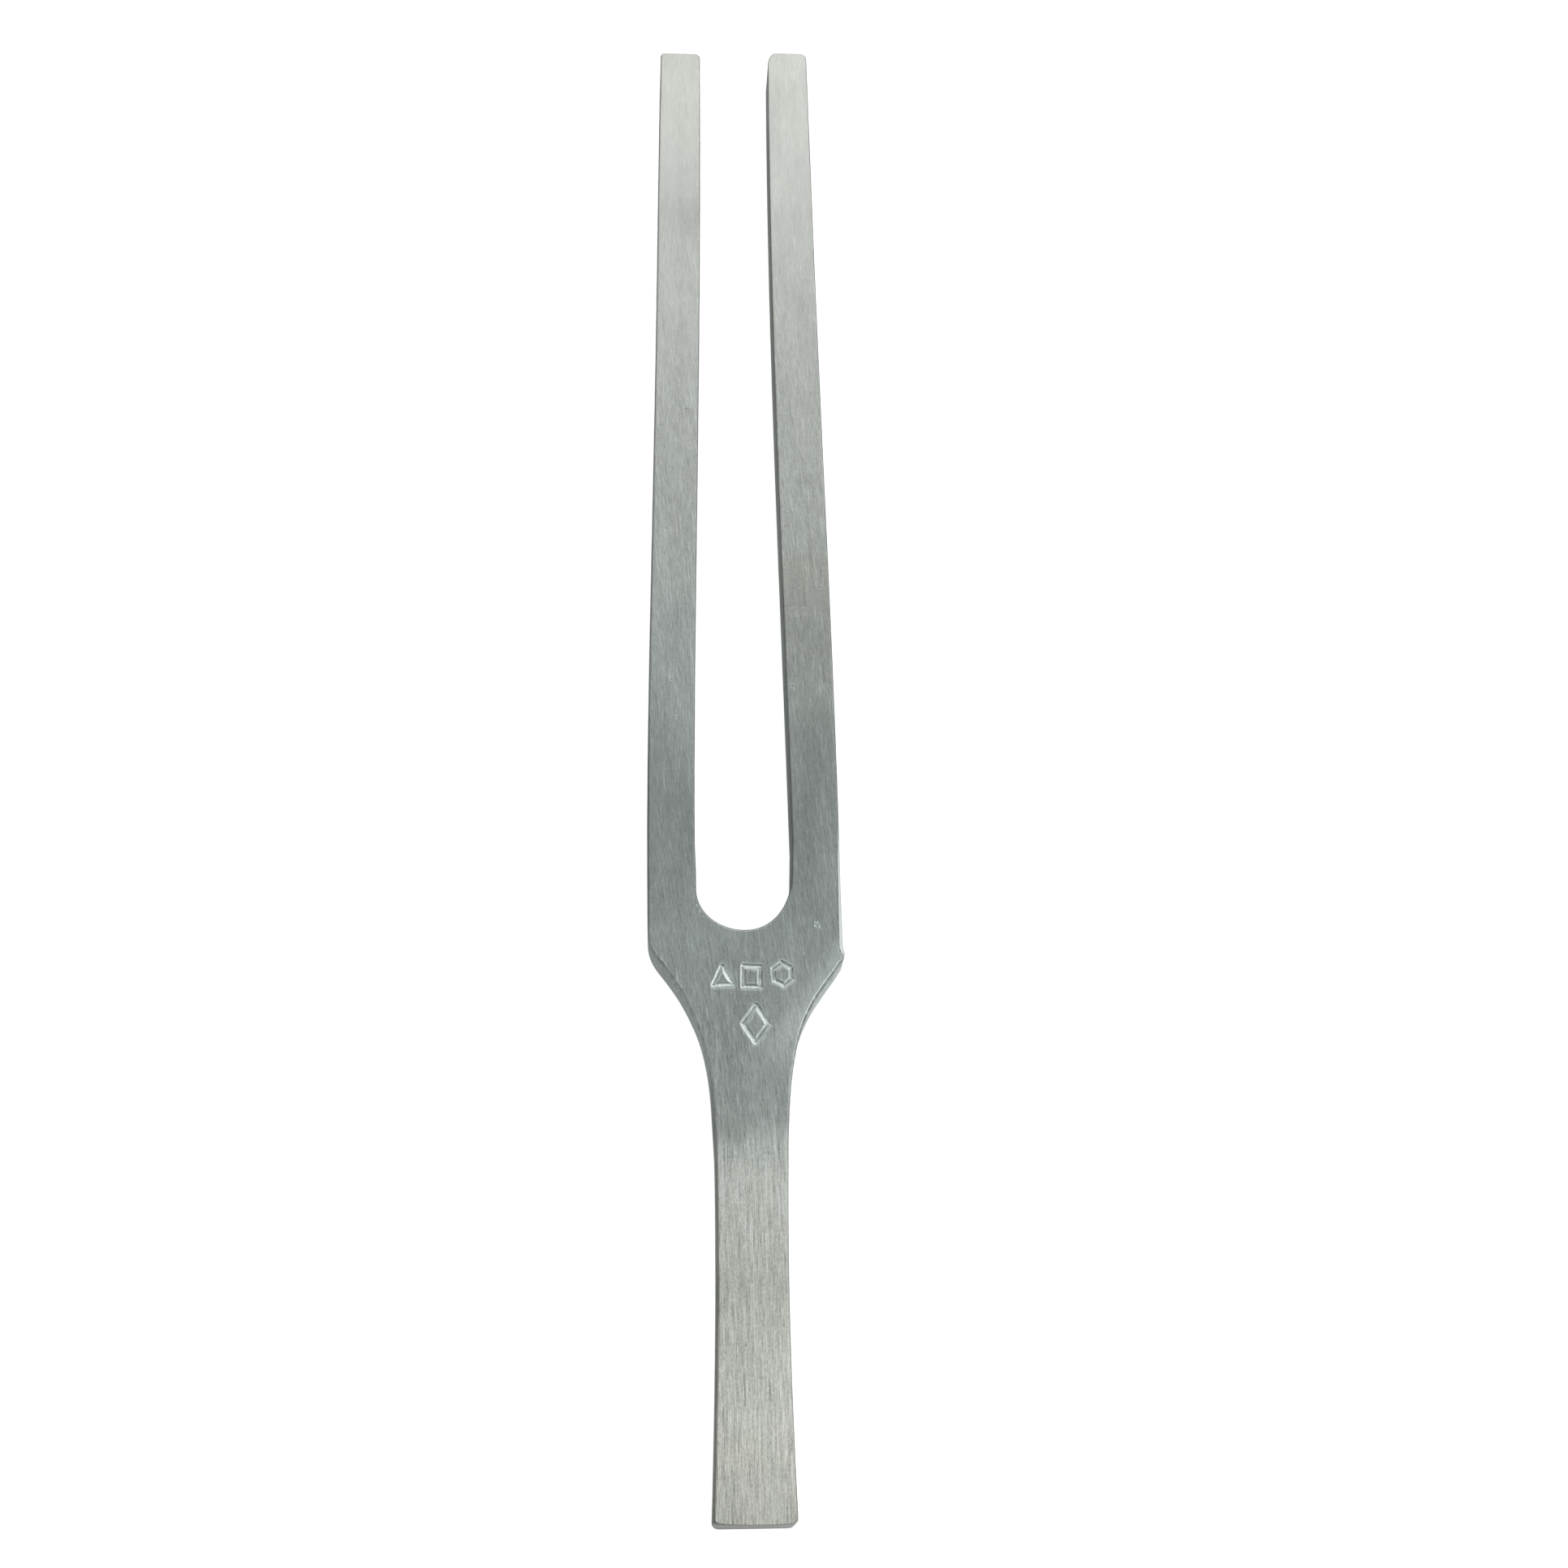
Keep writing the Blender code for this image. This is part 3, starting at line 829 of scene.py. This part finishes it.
def arris_shade(net, at):
    """Painted shade and highlight on the rounded edges: darker along most of them, by region and
    by which way they face, and lighter at the tips' ends and the stem's end.
    """
    y = at.y
    # painted shade along the rounded edges, by region and by which way they face
    edge = net.blend(
        at.ground, net.blend(at.handle, -0.16, net.blend(at.right, -0.30, -0.24)),
        net.blend(at.right, -0.22, net.span(y, -18.0, -12.0, to=(-0.12, -0.72))))
    # painted highlight on the rounded edges at the tips' ends and the stem's end
    end_highlight = net.add(net.span(at.normal_y, 0.25, 0.6, to=(0.0, 0.75)),
                   net.span(at.normal_y, -0.25, -0.6, to=(0.0, 0.95)))
    return net.add(edge, (end_highlight, net.add(net.span(y, 138.0, 139.5), net.span(y, -71.5, -72.2))))


def strip_place(net, at):
    """Factors that are all 1 along the filed strip low on the right tine's outer edge."""
    return (net.span(at.x, 10.6, 11.4), net.span(at.y, 15.5, 9.0), net.span(at.y, -3.9, -3.2))


def whole_shade(net, at):
    """Brightness everywhere, with painted shade and highlight on the edges, in the dents and on
    the filed strip; also adds the filed strip's mask to at.
    """
    shade = face_shade(net, at)
    shade = net.blend(at.flat, wall_shade(net, at), shade)
    # painted shade and highlight in a patchy line along the faces' edges: dark on the tines and
    # yoke except on the right tine's slot side, light on the handle and most on its right, and
    # dark beside the filed strip
    patchy_edge_line = net.span(net.pattern(at.xyz, (1.1, 0.9, 1.1), detail=3.0, rough=0.7), 0.40, 0.60)
    rim = net.blend(
        at.handle, net.blend(at.left, -0.12, net.blend(net.span(at.x, 2.0, 3.0), -0.16, 0.10)),
        net.blend(at.right, 0.12, 0.30))
    shade = net.add(shade, (at.arris_sheen_and_wear, arris_shade(net, at)), (at.rim, patchy_edge_line, rim),
                    (at.rim, *strip_place(net, at), -0.35), (at.struck, 0.22), (at.pit_shade_and_glint, -0.62))
    at.strip = net.mul(net.span(at.arris_sheen_and_wear, 0.22, 0.42), net.mul(*strip_place(net, at)),
                       net.span(at.normal_z, 0.0, 0.1))
    # painted highlight on the filed strip
    return net.add(shade, (at.strip, 1.1))


def metal_colour(net, at):
    y = at.y
    # base colour along the length: the metal's tint and a painted reflection, which steps lighter
    # and warmer where the handle begins
    tone = net.ramp(net.span(y, *WHOLE_RANGE, smooth=False), WHOLE_TONES)
    handle = net.ramp(net.span(y, *HANDLE_RANGE, smooth=False), HANDLE_TONES)
    tone = net.mix(at.handle, tone, handle)
    shade = whole_shade(net, at)
    grey = net.node("ShaderNodeCombineColor", enumerate((shade,) * 3)).outputs[0]
    colour = net.mix(1.0, tone, grey, "MULTIPLY")
    colour = net.mix(1.0, colour, (0.93, 0.935, 0.925, 1), "DARKEN")      # brightest allowed
    colour = net.tint(at.rub, colour, (1.0, 0.975, 0.95))                 # browner patch
    # the tines' faces are warmer, from lower down on the right one
    start = net.blend(right_half(net, at), 40.0, 20.0)
    end = net.blend(right_half(net, at), 54.0, 34.0)
    colour = net.tint(net.mul(at.flat, net.span(y, start, end)), colour, (1.010, 1.0, 0.982))
    # faint greenish clouds
    green = net.pattern(at.xyz, (0.25, 0.09), shift=3.0, rough=0.6)
    return net.tint(net.span(green, 0.35, 0.65, to=(0.0, 0.5)), colour, (0.985, 1.0, 0.99))


def metal_roughness(net, at):
    rough = net.add(net.blend(at.handle, 0.34, 0.40), (at.grain, -0.16),
                    (net.centred(at.cloud), 0.10), (at.rub, 0.10), (at.arris_sheen_and_wear, -0.06))
    rough = net.blend(at.flat, net.blend(at.ground, 0.42, 0.55), rough)
    return net.blend(at.struck, rough, 0.22)


def metal_bump(net, at):
    height = net.add((at.grain, 0.9), (at.thread, 0.8), (at.score, 0.4), (at.sweep, 0.5),
                     (at.bright, 0.4), (at.dark, -0.5), (at.fleck, 0.4), (at.speck, 0.55),
                     (at.rub, -0.35))
    height = net.mul(height, net.span(at.struck, 0.0, 0.5, to=(1.0, 0.12)))
    inputs = {"Strength": 0.8, "Distance": BUMP_DEPTH, "Height": height}
    return net.node("ShaderNodeBump", inputs).outputs[0]


def brushed_aluminium():
    material = bpy.data.materials.new("brushed_aluminium_fork")
    net = Net(material)
    at = read_surface(net)
    brush(net, at)
    colour = metal_colour(net, at)
    walls = net.blend(at.ground, 0.88, net.blend(at.right, 0.62, 0.50))
    metallic = net.blend(at.struck, net.blend(at.flat, walls, 1.0), 1.0)
    # the highlight spreads across the grain
    along = net.xyz(net.blend(at.handle, math.sin(-GRAIN_LEAN), HANDLE_LEAN), 1.0, 0.0)
    across = net.node("ShaderNodeVectorMath", {0: at.normal, 1: along},
                      operation="CROSS_PRODUCT")
    shader = net.node("ShaderNodeBsdfPrincipled", {
        "Base Color": colour,
        "Metallic": net.blend(at.strip, metallic, 0.45),
        "Roughness": metal_roughness(net, at),
        "Anisotropic": net.blend(at.flat, 0.3, 0.65),
        "Normal": metal_bump(net, at),
        "Tangent": across.outputs[0],
    })
    net.node("ShaderNodeOutputMaterial", {"Surface": shader.outputs[0]})
    return material


# ------------------------------------------------------------------ stage
# light by direction along y: 0 towards the handle's end, 0.5 straight up, 1 beyond the tips
LEVELS = ((0.00, 0.20), (0.35, 0.34), (0.50, 0.90), (0.575, 0.75), (0.64, 0.33), (0.708, 0.15),
          (0.74, 0.58), (0.765, 0.83), (0.80, 0.82), (0.84, 1.06), (0.92, 0.85), (1.00, 0.60))
FLOOR_SEEN_BY_METAL = (0.58, 0.75)       # left of the fork, right of it
FLOOR_LIFT = 0.70                        # glow added for the camera only
FLOOR_HALF = 3000.0
FLOOR_GAP = 0.00005                      # metres under the fork


def soft_world():
    """White to the camera; lights the fork by LEVELS, brighter on the right than the left."""
    world = bpy.data.worlds.new("soft_studio")
    bpy.context.scene.world = world
    net = Net(world)
    dx, dy, dz = net.split(net.node("ShaderNodeTexCoord").outputs["Generated"])
    level = net.ramp(net.span(dy, -1.0, 1.0, smooth=False),
                     [(place, (grey,) * 3) for place, grey in LEVELS])
    level = net.node("ShaderNodeSeparateColor", {0: level}).outputs[0]
    side = net.add(net.span(dx, 0.35, 0.80, to=(0.0, 0.55)),
                   net.span(dx, -0.15, -0.75, to=(0.0, -0.18)))
    side = net.mul(side, net.span(dz, 0.97, 0.80))       # no difference straight overhead
    total = net.math("MAXIMUM", net.add(level, side), 0.06)
    colour = net.node("ShaderNodeCombineColor",
                      {0: net.mul(total, 0.985), 1: total, 2: net.mul(total, 0.99)})
    camera_ray = net.node("ShaderNodeLightPath").outputs["Is Camera Ray"]
    seen = net.mix(camera_ray, colour.outputs[0], (1.0, 1.0, 1.0, 1))
    background = net.node("ShaderNodeBackground", {0: seen})
    net.node("ShaderNodeOutputWorld", {0: background.outputs[0]})


def pale_floor():
    material = bpy.data.materials.new("pale_floor")
    net = Net(material)
    rays = net.node("ShaderNodeLightPath").outputs
    geometry = net.node("ShaderNodeNewGeometry").outputs
    soft = net.noise(net.node("ShaderNodeTexCoord").outputs["Object"])
    pale = net.mix(net.span(soft, 0.3, 0.7, to=(0.0, 0.25)), (1.0, 1.0, 1.0, 1),
                   (0.985, 0.985, 0.98, 1))
    x = net.split(geometry["Position"])[0]
    seen = net.span(x, -0.008, 0.016, to=FLOOR_SEEN_BY_METAL)
    colour = net.mix(rays["Is Glossy Ray"], pale, net.xyz(seen, seen, seen))
    diffuse = net.node("ShaderNodeBsdfDiffuse", {"Color": colour})
    glow = net.node("ShaderNodeEmission", {
        "Color": (1, 1, 1, 1), "Strength": net.mul(rays["Is Camera Ray"], FLOOR_LIFT)})
    both = net.node("ShaderNodeAddShader", {0: diffuse.outputs[0], 1: glow.outputs[0]})
    # open from below, so the fork's bottom face can be seen too
    clear = net.node("ShaderNodeBsdfTransparent")
    shader = net.node("ShaderNodeMixShader", {
        0: geometry["Backfacing"], 1: both.outputs[0], 2: clear.outputs[0]})
    net.node("ShaderNodeOutputMaterial", {"Surface": shader.outputs[0]})
    return material


def studio_floor():
    """A wide floor, open where the fork covers it, so the fork's bottom is lit too."""
    material = pale_floor()
    mesh = bpy.data.meshes.new("studio_floor")
    hole = resample(outline(), 2.0, 0.3)
    hole = hole - normals(hole) * 0.3
    count = len(hole)
    points = [Vector((float(x), float(y) + SLOT_Y)) for x, y in hole]
    points += [Vector((x * FLOOR_HALF, y * FLOOR_HALF))
               for x, y in ((-1, -1), (1, -1), (1, 1), (-1, 1))]
    edges = [(i, (i + 1) % count) for i in range(count)]
    edges += [(count + i, count + (i + 1) % 4) for i in range(4)]
    made, _, faces, _, _, _ = delaunay_2d_cdt(points, edges, [], 0, 1e-7)
    middles = np.array([[sum(made[i][0] for i in face) / len(face),
                         sum(made[i][1] for i in face) / len(face) - SLOT_Y] for face in faces])
    keep = ~inside(hole, middles)
    mesh.from_pydata([(point[0] * MM, point[1] * MM, 0.0) for point in made], [],
                     [tuple(face) for face, kept in zip(faces, keep) if kept])
    mesh.materials.append(material)
    floor = add_object("studio_floor", mesh)
    floor.location.z = yoke_low.z - FLOOR_GAP


def key_light():
    """A faint softbox above, on the right beyond the tips."""
    light = bpy.data.lights.new("key_softbox", "AREA")
    light.shape, light.size, light.size_y = "RECTANGLE", 0.9, 0.6
    light.energy = 0.12
    key = add_object("key_softbox", light)
    key.location = (0.75, 0.85, 0.75)
    aim = Vector((0, 0.05, 0))
    key.rotation_euler = (aim - key.location).to_track_quat("-Z", "Y").to_euler()


def camera():
    lens = bpy.data.cameras.new("camera")
    lens.lens, lens.sensor_width = 49.19, 36.0
    lens.clip_start, lens.clip_end = 0.01, 20.0
    obj = add_object("camera", lens)
    obj.location = Vector((-11.790, -78.646, 267.93)) * MM
    degrees = (22.245020, -3.299837, -1.144998)
    obj.rotation_euler = Euler([math.radians(angle) for angle in degrees], "XYZ")
    bpy.context.scene.camera = obj
    bpy.context.scene.view_settings.view_transform = "Standard"


# ------------------------------------------------------------------ pieces
# side, object, CAD piece, joint, tip's y in the frame
PIECES = (
    (0, "fork_stem_and_yoke", "stem_and_yoke", None, None),
    (-1, "fork_left_tine", "left_tine", "left_tine_flex", left_high.y),
    (1, "fork_right_tine", "right_tine", "right_tine_flex", right_high.y),
)
metal = brushed_aluminium()
fork = build_fork()
for side, name, node, joint, tip in PIECES:
    piece = part_of(fork, hinge["left_tine_flex"].y, side, name, metal)
    if joint is None:
        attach(piece, "stem")
    else:
        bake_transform(piece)
    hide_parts(node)
fork.free()
soft_world()
studio_floor()
key_light()
camera()

bpy.context.view_layer.update()
